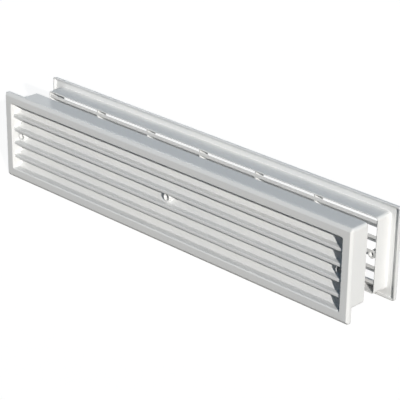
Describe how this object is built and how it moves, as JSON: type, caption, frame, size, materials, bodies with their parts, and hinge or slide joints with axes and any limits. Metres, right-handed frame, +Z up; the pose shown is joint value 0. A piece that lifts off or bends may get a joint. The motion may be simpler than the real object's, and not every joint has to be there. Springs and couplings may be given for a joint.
{
  "type": "door vent grille",
  "caption": "White plastic louvred vent for a door: flanged halves whose collars telescope in the cut-out and are drawn together by screws.",
  "frame": {"origin": "centre of the door cut-out on the door's outer face, where the lip of the front half's flange rests", "axes": "+X along the grille, to the right seen from the front half's louvred face; +Y into the door, from the front half towards the rear half; +Z up, the way the slats rise inwards"},
  "size_m": [0.455, 0.0694, 0.091],
  "materials": {
    "white_plastic": "satin injection-moulded plastic",
    "plated_steel": "bright zinc plate"
  },
  "bodies": {
    "front_half": {"front_grille": "white_plastic", "screw_left": "plated_steel", "screw_centre": "plated_steel", "screw_right": "plated_steel"},
    "rear_half": {"rear_grille": "white_plastic"}
  },
  "joints": [
    {"name": "door_thickness_slide", "type": "slide", "parent": "front_half", "child": "rear_half", "axis": [0, 1, 0], "range_m": [-0.0294, 0]}
  ]
}
